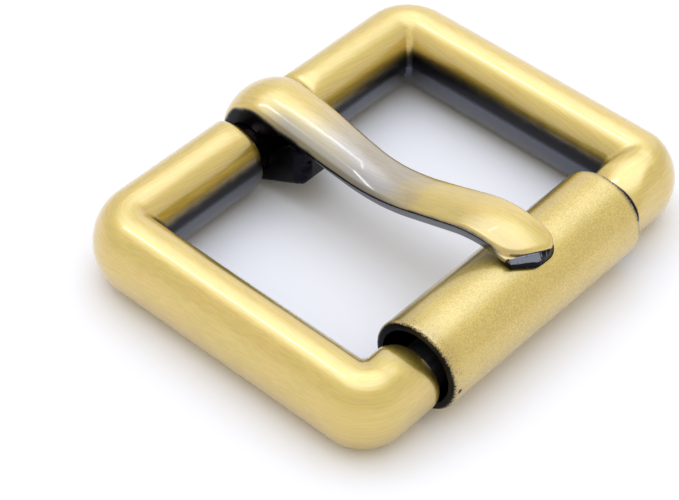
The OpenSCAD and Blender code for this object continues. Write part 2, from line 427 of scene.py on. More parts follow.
def station(x, y, outward, slip=(0, 0), corner=0.0, limit=FREE, drop=0.0, oxide=0.0, dark=0.0):
    return {
        "at": Vector((x, y, BAR_Z)) * MM,
        "outward": Vector((*outward, 0)),
        "slip": Vector((*slip, 0)),
        "corner": corner * MM,
        "limit": limit * MM,
        "drop": drop * MM,
        "oxide": oxide,
        "dark": radians(dark),
    }


def between(pair, share):
    return pair[0] + (pair[1] - pair[0]) * share


def fade(distance, length):
    return max(0.0, 1 - distance / length)


def stub_reach(depth):
    """How far the stub's section reaches, at a depth from the stub's end."""
    fat = HALF_H + STUB_DROP + STUB_SWELL
    low = STUB_D / 2 - fat + STUB_TAPER
    back = sqrt(STUB_TAPER ** 2 - low ** 2)
    return fat - STUB_TAPER + sqrt(STUB_TAPER ** 2 - max(0, back - depth) ** 2)


def stub_stations():
    """From the bottom of the pin's hole, round the stub's mouth, to the corner."""
    hole = PIN_HOLE_D / 2
    made = [
        (PIN_HOLE_DEEP, 0.0001, 1), (PIN_HOLE_DEEP, hole - HOLE_FLOOR_R, 1),
        (PIN_HOLE_DEEP - HOLE_FLOOR_R, hole, 1), (HOLE_MOUTH_R, hole, 1),
        (HOLE_MOUTH_R / 4, hole + HOLE_MOUTH_R / 4, 1), (0, hole + HOLE_MOUTH_R, 1),
    ]
    for step in range(EDGE_STEPS + 1):
        a = radians(90 * step / EDGE_STEPS)
        depth = STUB_EDGE * (1 - cos(a))
        reach = stub_reach(depth) - STUB_EDGE * (1 - sin(a))
        made.append((depth, reach, 0.9 - 0.6 * step / EDGE_STEPS))
    for step in range(1, STUB_STEPS):
        depth = STUB_EDGE + (STUB_LEN - STUB_EDGE) * step / STUB_STEPS
        made.append((depth, stub_reach(depth), max(0.0, 0.3 - 0.3 * step / 4)))
    return [
        station(
            ROLLER_X, -STUB_GAP / 2 - depth, (1, 0), (0, fade(STUB_LEN - depth, ROLLER_FADE)),
            RC_ROLLER, reach, STUB_DROP, oxide, STUB_DARK)
        for depth, reach, oxide in made
    ]


def corner_stations(centre, radius, first, last, limit=(FREE, FREE), drop=(0, 0), dark=(0, 0)):
    """A quarter turn from one outward direction to the next."""
    stations = []
    for step in range(CORNER_STEPS + 1):
        share = step / CORNER_STEPS
        a = pi / 2 * share
        n = Vector(first) * cos(a) + Vector(last) * sin(a)
        slip = n - Vector(first) - Vector(last)
        stations.append(station(
            centre[0] + radius * n.x, centre[1] + radius * n.y, n, slip, radius,
            between(limit, share), between(drop, share), 0.0, between(dark, share)))
    return stations


print("stations of a stub:", len(stub_stations()))

# %% [markdown]
# ## The whole route of the frame
#
# Half of the route is enough, from the near stub to the neck, because the other half is
# its mirror image. Only the oxide differs. The brush lines will follow the way along the
# bar, which the last loop adds up.

# %% The whole route
# Distances from the last corner, in mm, closer where the bar's shape changes
SIDE_AT = (0.6, 1.2, 1.8, 2.6, 4, 6, 8, 10, 12, 14, 16, 17.6, 18.4, 18.9, 19.4)
PRONG_AT = (0.4, 0.8, 1.2, 1.7, 2.6, 3.8, 5, 6.2, 7.4)
# Distance from the shoulder and reach, in mm: before the shoulder's rounding and after it
NARROWING = (2.3, 4.6), (1.9, 4.1), (1.5, 3.65)
NECK_R = NECK_D / 2
NECK_AT = [(0, 2.1), (0.01, 2.0), (0.05, NECK_R + 0.03)]
NECK_AT += [(t, NECK_R) for t in (0.12, 0.6, 1.4, 2.2)]
SHOULDER_STEPS = 10


def shoulder_stations():
    """The bar narrows, turns down over its rounded shoulder and becomes the neck."""
    edge = -NECK_LEN / 2
    steepest = degrees(asin((SHOULDER_D / 2 - HALF_H + SHOULDER_ROUND) / SHOULDER_ROUND))
    hub_y = edge - SHOULDER_ROUND * cos(radians(steepest))
    made = [(edge - off, reach, 0.0) for off, reach in NARROWING]
    for step in range(SHOULDER_STEPS + 1):
        a = radians(between((90, steepest), step / SHOULDER_STEPS))
        reach = HALF_H - SHOULDER_ROUND + SHOULDER_ROUND * sin(a)
        made.append((hub_y + SHOULDER_ROUND * cos(a), reach, max(0.0, (step - 7) / 4)))
    made += [(edge + off, reach, 1.0) for off, reach in NECK_AT]
    return [
        station(NECK_X, y, (-1, 0), limit=reach, oxide=oxide, dark=PRONG_DARK)
        for y, reach, oxide in made
    ]


def half_route():
    """The stations from the near stub's hole to the neck."""
    start, end = ROLLER_X - RC_ROLLER, NECK_X + RC_PRONG
    stub_root = stub_reach(STUB_LEN)
    stations = stub_stations() + corner_stations(
        (start, -SIDE_Y + RC_ROLLER), RC_ROLLER, (1, 0), (0, -1),
        (stub_root, stub_root + 0.5), (STUB_DROP, 0), (STUB_DARK, SIDE_DARK))
    for t in SIDE_AT:
        before, after = fade(t, ROLLER_FADE), fade(start - end - t, PRONG_FADE)
        stations.append(station(
            start - t, -SIDE_Y, (0, -1), (after - before, 0),
            RC_ROLLER if before else RC_PRONG, dark=SIDE_DARK))
    top = -SIDE_Y + RC_PRONG
    stations += corner_stations(
        (end, top), RC_PRONG, (0, -1), (-1, 0), dark=(SIDE_DARK, PRONG_DARK))
    for t in PRONG_AT:
        stations.append(station(
            NECK_X, top + t, (-1, 0), (0, fade(t, PRONG_FADE)), RC_PRONG, dark=PRONG_DARK))
    return stations + shoulder_stations()


def mirrored(one):
    """The same station on the far side, with less oxide inside and a blacker mouth."""
    other = dict(one)
    for key in ("at", "outward", "slip"):
        other[key] = Vector((one[key].x, -one[key].y, one[key].z))
    side_share = (degrees(one["dark"]) - STUB_DARK) / (SIDE_DARK - STUB_DARK)
    other["dark"] -= radians(FAR_LESS) * max(0.0, side_share)
    from_mouth = abs(one["at"].y) / MM - STUB_GAP / 2
    # The far stub's mouth is black: oxide, and painted shadow of the gap at the roller's far end.
    if one["at"].x > (ROLLER_X - 0.01) * MM and from_mouth < 1:
        other["oxide"] = max(other["oxide"], min(1.0, 1.6 - 3 * from_mouth))
    return other


near = half_route()
middle = station(NECK_X, 0, (-1, 0), limit=NECK_R, oxide=1.0, dark=PRONG_DARK)
frame_route = near + [middle] + [mirrored(one) for one in reversed(near)]
travelled = 0.0
for before, here in zip([frame_route[0], *frame_route], frame_route):
    travelled += (here["at"] - before["at"]).length
    here["along"] = travelled
print(f"frame route: {len(frame_route)} stations, {travelled / MM:.1f} mm of bar")

# %% [markdown]
# ## The oval section of the bar
#
# The bar's section is an upright oval: a small circle at the crest and at the foot, joined
# by two flatter side arcs. Curve to Mesh would fold over itself at the tight inner corners
# and couldn't thin the bar into a stub or a neck. So the tree starts from a lattice and
# works out each point. First comes its place on the oval: u is the distance outward from
# the bar's axis and w the height above it.

# %% The casting tree: the oval
casting = Tree(
    "casting_on_a_route", ("Rings", "Section points"),
    ("Bar width", "Bar height", "Crest radius", "Inner corner", "Blend"))
points = casting.size("Section points")
bar_grid, column = casting.lattice(casting.size("Rings"), points + 1, closed=False)
angle = column / points * tau
cosine, sine = angle.math("COSINE"), angle.math("SINE")

crest = casting.size("Crest radius")
half_width = casting.size("Bar width") * 0.5
crest_up = casting.size("Bar height") * 0.5 - crest
side_radius = (
    half_width * half_width + crest_up * crest_up - crest * crest) / ((half_width - crest) * 2)
on_crest = (sine.math("ABSOLUTE") * (side_radius - crest)).math("GREATER_THAN", crest_up)
side_u = cosine * side_radius - cosine.math("SIGN") * (side_radius - half_width)
side_w = sine * side_radius
u = side_u + on_crest * (cosine * crest - side_u)
w = side_w + on_crest * (sine * crest + sine.math("SIGN") * crest_up - side_w)
print("nodes for the oval:", len(casting.group.nodes))

# %% [markdown]
# ## Hanging the section on the route
#
# Now the point is drawn in to the reach that its station allows, with a soft change from
# oval to round. On the inside of a corner it slides back along the bar, which leaves a
# small rounded valley there, as in real castings. A point that would lie below the
# table is lifted onto it: this makes the narrow flat that the frame rests on.

# %% The casting tree: along the route
SLIDE_BLEND = 0.3 * MM

row = casting.at_row
drop = row("drop")
low_w = w + drop
radial = root(u * u + low_w * low_w)
shrink = radial.math("SMOOTH_MIN", row("limit"), casting.size("Blend")) / radial
u = u * shrink
w = low_w * shrink - drop
slide = casting.size("Inner corner") - row("corner") - u
slide = slide.math("SMOOTH_MAX", 0.0, SLIDE_BLEND)
moved = row("at", VECTOR)
moved = moved.vector("ADD", row("outward", VECTOR).vector("SCALE", u))
moved = moved.vector("ADD", row("slip", VECTOR).vector("SCALE", slide))
x, y, z = moved.vector("ADD", pack_xyz(0.0, 0.0, w)).parts()
skin = casting.move(bar_grid, pack_xyz(x, y, largest(z, 0.0)))
skin = casting.store(skin, "grain", pack_xyz(row("along"), u, w))
skin = casting.store(skin, "facing", pack_xyz(cosine, sine, row("dark")))
casting.finish(casting.store(skin, "oxide", row("oxide"), "FLOAT"))

# %% [markdown]
# ## The roller
#
# The roller is a short piece of thick tube. Its section is a thin strip with rounded
# corners, and the tree turns that strip round the roller's axis. Each point of the strip
# also says how far it is from the end's rim, because the oxide gathers there.

# %% Roller route and tree, in mm
ROLLER_D, ROLLER_BORE, ROLLER_LEN, ROLLER_RIM, BORE_RIM = 6.9, 5.6, 20.25, 0.25, 0.06
ROLLER_SIDE_GAP, ROLLER_LIFT = 0.18, 0.1
ROLLER_Y = -STUB_GAP / 2 + ROLLER_SIDE_GAP + ROLLER_LEN / 2
ROLLER_Z = ROLLER_LIFT + ROLLER_D / 2
RIM_STEPS = 8
WALL_SHARES = (0.02, 0.25, 0.5, 0.75, 0.98)
IN_BORE = -0.65  # stands for the bore, which is blackened all along


def rounded_wall():
    """(radius, place along the axis) round the wall of the tube, corners rounded."""
    inner, outer, end = ROLLER_BORE / 2, ROLLER_D / 2, ROLLER_LEN / 2
    wall = []
    for radius, across, rim, first in (
        (outer, end, ROLLER_RIM, 0), (inner, end, BORE_RIM, 90),
        (inner, -end, BORE_RIM, 180), (outer, -end, ROLLER_RIM, 270),
    ):
        hub_r = radius - copysign(rim, radius - (inner + outer) / 2)
        hub_y = across - copysign(rim, across)
        for step in range(RIM_STEPS + 1):
            a = radians(first + 90 * step / RIM_STEPS)
            wall.append((hub_r + rim * cos(a), hub_y + rim * sin(a)))
        if first in (90, 270):
            straight_r = wall[-1][0] if first == 90 else outer
            wall += [(straight_r, across * (1 - 2 * share)) for share in WALL_SHARES]
    return wall


wall_route = [{
    "at": Vector((ROLLER_X, 0, ROLLER_Z)) * MM,
    "radius": radius * MM,
    "across": (ROLLER_Y + across) * MM,
    "rim": IN_BORE if radius <= ROLLER_BORE / 2 + 0.05
    else ROLLER_LEN / 2 - abs(across) - (ROLLER_D / 2 - radius),
} for radius, across in rounded_wall()]
tube = Tree("tube_turned_round_its_axis", ("Rings", "Steps"))
steps = tube.size("Steps")
tube_grid, column = tube.lattice(tube.size("Rings"), steps + 1)
angle = column / steps * tau
hub_x, _, hub_z = tube.at_row("at", VECTOR).parts()
radius = tube.at_row("radius")
turned = pack_xyz(
    hub_x + radius * angle.math("COSINE"), tube.at_row("across"),
    hub_z + radius * angle.math("SINE"))
tube.finish(tube.store(tube.move(tube_grid, turned), "blackened", tube.at_row("rim"), "FLOAT"))
print("roller route:", len(wall_route), "points")

# %% [markdown]
# ## The side view of the tongue
#
# The tongue is one strip of metal: a blade that dips between the bars and rests on the
# roller, and a hook that closes round the neck. From the side it is one closed outline of
# arcs and their tangents. Two of these come first: the blade's fall from the hook into the
# dip, and its climb from the dip to the hump.

# %% Sizes of the tongue, in mm and degrees
TONGUE_W, BLADE_T, EDGE_R, SMALL_EDGE = 4.0, 0.8, 0.3, 0.1
HOOK_CLEAR, HOOK_WALL, HOOK_R, HOOK_LEAN, HOOK_LIFT = 0.08, 0.87, 3.6, 30.0, 0.15
LIP_LEN, LIP_RISE, LIP_ROUND, LIP_PLAN_R, LIP_END_R, SLOT = 5.3, 27.0, 0.5, 0.9, 0.07, 0.2
MOUTH_AT, WEDGE_AT, WEDGE_HIGH, WEDGE_LOW = 0.75, 0.58, 62.0, 15.0
DIP_R, DIP_AT, DIP_DROP = 13.7, 0.467, 0.28
HUMP_R, TIP_LEAN, REST_GAP, TIP_OVER, TIP_R = 9.0, 22.0, 0.12, 1.95, 1.25


def aim(v):
    return atan2(v.y, v.x)


def polar(angle, length):
    return Vector((cos(angle), sin(angle))) * length


quarter = pi / 2
neck_c = Vector((NECK_X, BAR_Z))
hole_r = NECK_R + HOOK_CLEAR
hook_out = hole_r + HOOK_WALL
hook_c = neck_c + polar(radians(HOOK_LEAN), HOOK_R - hook_out)
dip_c = Vector((NECK_X + DIP_AT * REACH, BAR_Z + HALF_H - DIP_DROP + DIP_R))
lean = radians(TIP_LEAN)
hump_c = Vector((ROLLER_X, ROLLER_Z)) - Vector((sin(lean), cos(lean))) * (
    HUMP_R - BLADE_T - REST_GAP - ROLLER_D / 2)
fall = aim(dip_c - hook_c) - asin((HOOK_R + DIP_R) / (dip_c - hook_c).length)
climb = aim(hump_c - dip_c) + asin((DIP_R + HUMP_R) / (hump_c - dip_c).length)
tip_x = ROLLER_X + TIP_OVER
tip_c = tip_x - TIP_R
lip_x = NECK_X + LIP_LEN
rise = radians(LIP_RISE)
print(f"the blade falls {-degrees(fall):.1f} and climbs {degrees(climb):.1f} degrees")

# %% [markdown]
# ## The outline, run by run
#
# The outline starts at the tip, runs back along the top, over the hook, under it to the
# lip, in through the narrow slot, once round the neck's hole and back along the underside.
# Each run keeps its kind, because the skin and the hidden faces look different later.

# %% Outline of the tongue
TIP_ROWS = 14
SAME_POINT = 0.004  # a point this near to the last one is left out
TIP_SHARES = [0.18, 0.36, 0.54, 0.72, 0.9]  # heights of the rows in the cut face


def bow(centre, radius, a0, a1, count):
    return [centre + polar(a0 + (a1 - a0) * i / count, radius) for i in range(count + 1)]


def straight(p, q, count):
    return [p + (q - p) * i / count for i in range(1, count)]


def blade_side(below):
    """The blade's line from the tip to the hook, at a depth below its upper face."""
    r = HUMP_R - below
    line = []
    for i in range(TIP_ROWS):
        x = tip_c + TIP_R * sin(quarter * (1 - i / (TIP_ROWS - 1)))
        line.append(Vector((x, hump_c.y + sqrt(r * r - (x - hump_c.x) ** 2))))
    line += bow(hump_c, r, aim(line[-1] - hump_c), quarter + climb, 16)[1:]
    dip = bow(dip_c, DIP_R + below, climb - quarter, fall - quarter, 30)
    return line + straight(line[-1], dip[0], 4) + dip


def lip_z(x):
    return BAR_Z - hook_out / cos(rise) + tan(rise) * (x - NECK_X)


def under_z(x, below):
    """The height of the blade's straight part, at a depth below its upper face."""
    start = hook_c + polar(quarter + fall, HOOK_R)
    return start.y + tan(fall) * (x - start.x) - below


hook_top = bow(hook_c, HOOK_R, quarter + fall, radians(250), 54)
hook_top = [p for p in hook_top if p.y > HOOK_LIFT + 0.02 or p.x > hook_c.x]
blade_top = blade_side(0)
top = blade_top + straight(blade_top[-1], hook_top[0], 6) + hook_top

flat_from = NECK_X + (HOOK_LIFT - lip_z(NECK_X)) / tan(rise)
flat_to = hook_c.x - sqrt(HOOK_R ** 2 - (hook_c.y - HOOK_LIFT) ** 2)
bottom = [Vector((flat_to + (flat_from - flat_to) * i / 6, HOOK_LIFT)) for i in range(7)]
round_x = lip_x - LIP_ROUND
round_c = Vector((round_x, lip_z(round_x) + LIP_ROUND / cos(rise)))
lip_corner = bow(round_c, LIP_ROUND, rise - quarter, 0, 8)
lip = straight(bottom[-1], lip_corner[0], 12) + lip_corner

end_c = Vector((lip_x - LIP_END_R, under_z(lip_x, BLADE_T + SLOT) - LIP_END_R))
lip_end = straight(lip[-1], Vector((lip_x, end_c.y)), 5)
lip_end += bow(end_c, LIP_END_R, 0, quarter + fall, 4)
mouth_x, wedge_x = NECK_X + MOUTH_AT * LIP_LEN, NECK_X + WEDGE_AT * LIP_LEN
mouth = Vector((mouth_x, under_z(mouth_x, BLADE_T + SLOT)))
wedge = Vector((wedge_x, under_z(wedge_x, BLADE_T)))
low_in, high_in = (neck_c + polar(radians(a), hole_r) for a in (WEDGE_LOW, WEDGE_HIGH))
slot_floor = straight(lip_end[-1], mouth, 3) + [mouth] + straight(mouth, low_in, 5)
hole = bow(neck_c, hole_r, radians(WEDGE_LOW), radians(WEDGE_HIGH) - tau, 60)
underside = blade_side(BLADE_T)[::-1]
slot_roof = straight(high_in, wedge, 6) + [wedge] + straight(wedge, underside[0], 12)

outline, kinds = [], []
for kind, run in {
    "skin": top, "bottom": bottom, "lip": lip, "lip end": lip_end, "slot floor": slot_floor,
    "hole": hole, "slot roof": slot_roof, "underside": underside,
}.items():
    for p in run:
        if not outline or (p - outline[-1]).length >= SAME_POINT:
            outline.append(p)
            kinds.append(kind)
outline += [Vector((tip_x, outline[-1].y + BLADE_T * share)) for share in TIP_SHARES]
kinds += ["tip"] * len(TIP_SHARES)
print("outline:", {kind: kinds.count(kind) for kind in dict.fromkeys(kinds)})

# %% [markdown]
# ## What each point of the outline carries
#
# The side view says nothing about the width, so each point carries its own half width, the
# rounding of its edge and its share of the crown. The photographed tongue isn't quite even:
# its hook is wider on the far side, its tip is cut off at a slant, and its crown is round
# over the hook and flat at the tip. Such a change is eased in along the blade.

# %% The route of the tongue
CROWN, HOOK_BULGE, TIP_BULGE = 0.4, 3.0, 5.4
HOOK_WIDER, TIP_WIDER, TIP_EDGE_MORE = 0.75, 0.2, 0.15
EDGES = {"skin": EDGE_R, "tip": 0.0, "lip": 0.3, "bottom": 0.3, "lip end": 0.2}
LIP_KINDS = ("bottom", "lip", "lip end", "slot floor")
# Where a change is centred and half its length, in mm; with a minus sign it eases out
FLATTER, LESS_ROUND, HOOK_SIDE, TIP_SIDE, CUT_END = (
    (12, 1.5), (1, 6), (-4.5, -5), (7, 3), (9.8, 2.6))
# The slanting cut, at the underside and at the top: its slope, where it starts across the
# width in mm, and how square its near corner is
CUT = (0.7, 0.47), (-0.4, 0.7), (0.95, 0.85)
INSIDE_BACK, INSIDE_SHARES = (0.9, 0.7, 0.5, 0.32, 0.18, 0.07), (0.12, 0.35, 0.6, 0.85)


def eased(x, change):
    """0 before a change, 1 after it, and a smooth rise between."""
    middle, half = change
    return 0.5 + 0.5 * sin(max(-1.0, min(1.0, (x - middle) / half)) * quarter)


def half_width_at(x, kind):
    """Half the width in plan, where the tip and the lip have rounded corners."""
    r, start = (LIP_PLAN_R, lip_x - LIP_PLAN_R) if kind in LIP_KINDS else (TIP_R, tip_c)
    return TONGUE_W / 2 - r + sqrt(max(0.0, r ** 2 - max(0.0, x - start) ** 2))


def outline_point(i):
    p, kind = outline[i], kinds[i]
    before, after = outline[i - 1], outline[(i + 1) % len(outline)]
    tangent = (p - before).normalized() + (after - p).normalized()
    normal = Vector((tangent.y, 0, -tangent.x)).normalized() if i else Vector((0, 0, 1))
    height, lift = 0.0, Vector()
    if kind == "skin":
        height = 1.0
        lift = normal * (1 - 0.4 * eased(p.x, FLATTER))
    elif kind == "tip":
        height = TIP_SHARES[i - len(outline)]
        lift = Vector((0, 0, 0.6 * height))
    slope, cut_from, squareness = (between(pair, height) for pair in CUT)
    return {
        "at": Vector((p.x, 0, p.y)) * MM,
        "normal": normal,
        "lift": lift,
        "edge": (EDGES.get(kind, SMALL_EDGE) + (TIP_EDGE_MORE if i < TIP_ROWS else 0.0)) * MM,
        "bulge": between((HOOK_BULGE, TIP_BULGE), eased(p.x, LESS_ROUND)) * MM,
        "wider": (HOOK_WIDER * eased(p.x, HOOK_SIDE) + TIP_WIDER * eased(p.x, TIP_SIDE)) * MM,
        "near": squareness * (TONGUE_W / 2 - half_width_at(p.x, "skin")) * MM,
        "skew": slope * eased(p.x, CUT_END),
        "from": cut_from * MM,
        "half": half_width_at(p.x, kind) * MM,
        "oxide": 1 + height / 0.72 if kind == "tip" else float(kind != "skin"),
    }


tongue_route, travelled = [outline_point(i) for i in range(len(outline))], 0.0
for point, p, after in zip(tongue_route, outline, outline[1:] + outline[:1]):
    point["along"] = travelled * MM
    travelled += (after - p).length
inside = []
for x in (lip_x - back_by for back_by in INSIDE_BACK):
    low = lip_z(x)
    if x >= round_c.x:
        low = round_c.y - sqrt(LIP_ROUND ** 2 - (x - round_c.x) ** 2)
    for share in INSIDE_SHARES:
        height = between((low, under_z(x, BLADE_T + SLOT)), share)
        inside.append({
            **tongue_route[0], "at": Vector((x, 0, height)) * MM, "lift": Vector(),
            "edge": 0.0, "half": half_width_at(x, "lip") * MM, "near": 0.0, "skew": 0.0,
            "wider": HOOK_WIDER * eased(x, HOOK_SIDE) * MM, "oxide": 1.0,
        })
print(f"tongue outline: {len(outline)} points, {travelled:.1f} mm round, {len(inside)} inside it")

# %% [markdown]
# ## Thickening the side view
#
# The tree moves one copy of the flat side view to each flank. Between the flanks it spans
# a lattice, with columns enough to show the crown and the rounded upper edges. One formula
# serves both. It reads a point's own values on a flank and its row's values on the lattice.

# %% The tongue tree
CUT_ROUND = 0.3 * MM

LENGTHS = (
    "Crown", "Full half width", "Tip centre", "Tip radius", "Lift off table", "Hump x", "Hump z")
thick = Tree("side_view_spread_over_a_width", ("Rows", "Columns"), LENGTHS)
full_crown, full, tip_at, round_plan, lift_off, hump_x, hump_z = map(thick.size, LENGTHS)


def spread(read, share):
    """A point's place at a share of the half width, and its distance across."""
    half, near, wider, skew, cut_from, edge, bulge = (
        read(name) for name in ("half", "near", "wider", "skew", "from", "edge", "bulge"))
    place, normal, lift = (read(name, VECTOR) for name in ("at", "normal", "lift"))
    across = half * share + near * share.math("MINIMUM", 0.0)
    crown = full_crown - bulge + root(bulge * bulge - across * across)
    # The upper edge is rounded, also where it turns round the tip in plan
    past_tip = largest(place.parts()[0] - tip_at, 0.0)
    past_side = largest(across.math("ABSOLUTE") - full + round_plan, 0.0)
    into_edge = largest(edge - round_plan + root(past_tip * past_tip + past_side * past_side), 0.0)
    sunk = edge - root(edge * edge - into_edge * into_edge)
    raised = place.vector("ADD", lift.vector("SCALE", crown))
    x, _, z = raised.vector("ADD", normal.vector("SCALE", -sunk)).parts()
    # The slanting cut slides points back along the hump's arc
    past_cut = cut_from - across
    from_hump, over_hump = x - hump_x, z - hump_z
    slid = from_hump - skew * (past_cut + root(past_cut * past_cut + CUT_ROUND ** 2)) * 0.5
    z = root(from_hump * from_hump + over_hump * over_hump - slid * slid) + hump_z
    y = across + wider * (across / full + 1) * 0.5
    return pack_xyz(slid + hump_x, y, largest(z, lift_off)), across


def shell(geometry, read, share, flank_at=None):
    spot, across = spread(read, share)
    grain = pack_xyz(read("along"), flank_at or across, 0.0)
    worn = pack_xyz(share.math("ABSOLUTE"), read("oxide"), 1.0 if flank_at else 0.0)
    return thick.store(thick.store(thick.move(geometry, spot), "grain", grain), "worn", worn)


columns = thick.size("Columns")
strip, column = thick.lattice(thick.size("Rows"), columns)
joined = add_node(thick.group, "GeometryNodeJoinGeometry")
across_share = ((column / (columns - 1) - 0.5) * pi).math("SINE")
plug(shell(strip, thick.at_row, across_share), joined.inputs[0])
for sign in (1.0, -1.0):
    side = thick.add("ShaderNodeValue")
    side.socket.default_value = sign
    plug(shell(thick.route, thick.here, side, sign * TONGUE_W / 2 * MM), joined.inputs[0])
thick.finish(Field(thick.group, joined.outputs[0]))

# %% [markdown]
# ## Steps that the finishes share
#
# The frame, the tongue and the roller are plated with brass, blackened all over, polished
# bright again outside and sealed with a clear lacquer, the coat of the Principled shader.
# Smooth oxide lies under it. Matte patina has none, so it stays black. Noise gives streaks,
# patches and grain, and ramps turn it into the limits of a colour. Places are in the
# piece's own frame, so the finish turns with the piece.

# %% Shared steps of the finishes
OXIDE, PATINA, COPPER = (0.04, 0.041, 0.05), (0.012, 0.011, 0.012), (0.2, 0.1, 0.085)
BRUSH_SLANT, RELIEF_DEPTH = 0.09, 0.00002


def attribute(tree, name):
    node = add_node(tree, "ShaderNodeAttribute", {"attribute_name": name})
    return Field(tree, node.outputs["Vector"]).parts()


def object_place(tree):
    return Field(tree, add_node(tree, "ShaderNodeTexCoord").outputs["Object"]).parts()


def scaled(place, *factors):
    """A place with each part stretched by its own factor, or all three by one."""
    if len(factors) == 1:
        factors *= 3
    return pack_xyz(*(part * factor for part, factor in zip(place, factors)))


def noise(place, detail, roughness):
    node = add_node(
        place.tree, "ShaderNodeTexNoise",
        Vector=place, Scale=1.0, Detail=detail, Roughness=roughness)
    return Field(place.tree, node.outputs[0])


def mixed(share, low, high):
    """A colour between two, each a plain colour or a field."""
    node = add_node(share.tree, "ShaderNodeMix", {"data_type": "RGBA"})
    for value, place in ((share, 0), (low, 6), (high, 7)):
        plug((*value, 1) if isinstance(value, tuple) else value, node.inputs[place])
    return Field(share.tree, node.outputs[2])


def relief(shader, height, strength):
    node = add_node(
        height.tree, "ShaderNodeBump", Height=height, Strength=strength, Distance=RELIEF_DEPTH)
    plug(Field(height.tree, node.outputs[0]), shader.inputs["Normal"])


def specks(place, share):
    """Tiny pits in a share of the cells of a Voronoi pattern."""
    node = add_node(place.tree, "ShaderNodeTexVoronoi", Vector=place, Scale=1.0)
    distance, colour = (Field(place.tree, node.outputs[name]) for name in ("Distance", "Color"))
    return colour.parts()[0].math("GREATER_THAN", 1 - share) * (1 - ramp(distance, 0.05, 0.1))


def lacquered(name, coat_roughness=0.09):
    return new_material(
        name, Metallic=1.0, Coat_Weight=1.0, Coat_Roughness=coat_roughness, Coat_IOR=2.0)


def blacken(shader, metal, grain, black, matte, oxide, patina):
    """Covers the metal with smooth oxide, and the oxide with matte patina."""
    plug(mixed(matte, mixed(black, metal, oxide), patina), shader.inputs["Base Color"])
    plug(grain * 0.12 + 0.34 - black * 0.2 + matte * 0.15, shader.inputs["Roughness"])
    plug(1 - matte, shader.inputs["Coat Weight"])


print("oxide, patina and copper:", OXIDE, PATINA, COPPER)

# %% [markdown]
# ## The brushed frame
#
# The brush lines follow an attribute that the tree stored, so they run round every corner,
# at a slight slant. The oxide starts where a point faces inward and below its station's
# angle: first a dull black band, which is patina and also painted dark reflection, then a
# smoother and bluer face. The neck and the stubs' mouths are black as well, with some copper
# showing through.

# %% Finish of the frame
DULL_BRASS = (0.575, 0.42, 0.07), (0.595, 0.415, 0.075)
BRIGHT_BRASS = (0.665, 0.492, 0.097), (0.685, 0.487, 0.105)
FRAME_OXIDE = (0.035, 0.043, 0.075)


def brushed(tree, shader):
    """The brushed brass: its colour, lines, patches and the grain's place."""
    grain = attribute(tree, "grain")
    along, out, up = grain
    skew = along * BRUSH_SLANT
    streaks = noise(scaled((along, out + skew, up + skew), 210.0, 7600.0, 7600.0), 3.0, 0.7)
    patches = noise(scaled(grain, 700.0, 900.0, 900.0), 4.0, 0.6)
    warmth = ramp(noise(scaled(grain, 260.0, 500.0, 500.0), 2.0, 0.5), 0.35, 0.65)
    polish = ramp(streaks * 0.85 + patches * 0.15, 0.34, 0.66)
    relief(shader, streaks, 0.22)
    brass = mixed(polish, mixed(warmth, *DULL_BRASS), mixed(warmth, *BRIGHT_BRASS))
    return brass, streaks, patches, grain


frame_brass, tree, shader = lacquered("brushed_antique_brass")
brass, streaks, patches, grain = brushed(tree, shader)
cosine, sine, dark = attribute(tree, "facing")
inward = sine.math("ARCTAN2", -cosine)
above_foot = ramp(inward, -1.3, -1.0)
past = dark + (patches - 0.5) * 0.1 + (streaks - 0.5) * 0.08 - inward
inner = ramp(past, -0.2, 0.12) * above_foot
# Painted reflection: the matte black band at the oxide's edge is patina, and also stands in for
# the dark floor and shadows that these inner faces mirror, more where they face inward.
patina_and_painted_reflection = ramp(past, -0.22, 0.08) * (0.32 + ramp(inward, -0.06, 0.08) * 0.58) * above_foot
ends = ramp(attribute(tree, "oxide")[0] + (patches - 0.5) * 0.4, 0.4, 0.7)
coppery = ramp(patches, 0.54, 0.62) * ends
pits = specks(scaled(grain, 260.0), 0.12)
blacken(
    shader, brass, streaks, largest(inner, ends), largest(patina_and_painted_reflection, (ends - coppery) * 0.96, pits),
    mixed(coppery, FRAME_OXIDE, COPPER), PATINA)
print(frame_brass.name, len(tree.nodes), "nodes")

# %% [markdown]
# ## The worn tongue
#
# The tongue has the same brass and more wear. The strap has rubbed the middle of the blade
# pale, down to the silvery metal. Painted shade darkens the near side of the blade towards
# brown, with a weaker band of it in the dip. The oblique cut at the tip shows bare grey
# metal, with chips of black and a black lower edge; painted shade darkens the cut's far part
# and the underside below the tip. Inside the hook the oxide is darkened further as painted
# shade. All faces but the upper skin are black, and a thin black line follows the skin's
# outer edge.

# %% Finish of the tongue
SILVER = (0.31, 0.268, 0.22), (0.4, 0.35, 0.29)
# Brown of the painted shade on the blade, and black of the chips and of painted shade on the cut.
SHADE_BROWN, CHIP_AND_SHADE = (0.085, 0.061, 0.02), (0.01, 0.01, 0.012)
# The tongue's patina, the second colour here, is darker than the frame's: painted shade inside the
# hook and under the tip.
STEEL_GREY, DEEP_PATINA_AND_SHADE = (0.085, 0.1, 0.135), (0.003, 0.003, 0.008)


def over(place, low, high):
    """A ramp along an axis of the piece, from low to high in mm."""
    return ramp(place, low * MM, high * MM)


tongue_brass, tree, shader = lacquered("brushed_antique_brass_tongue")
brass, streaks, patches, _ = brushed(tree, shader)
to_edge, layer, _ = attribute(tree, "worn")
x, y, _ = place = object_place(tree)
uneven = patches - 0.5

rubbed = over(x, -9.5, -3.5) * (1 - over(x + uneven * 0.003, 0.5, 4.5)) * 0.85
rubbed = rubbed * (1 - over(-y, 0.4, 1.3) * (1 - over(x, -5.0, -1.0)))
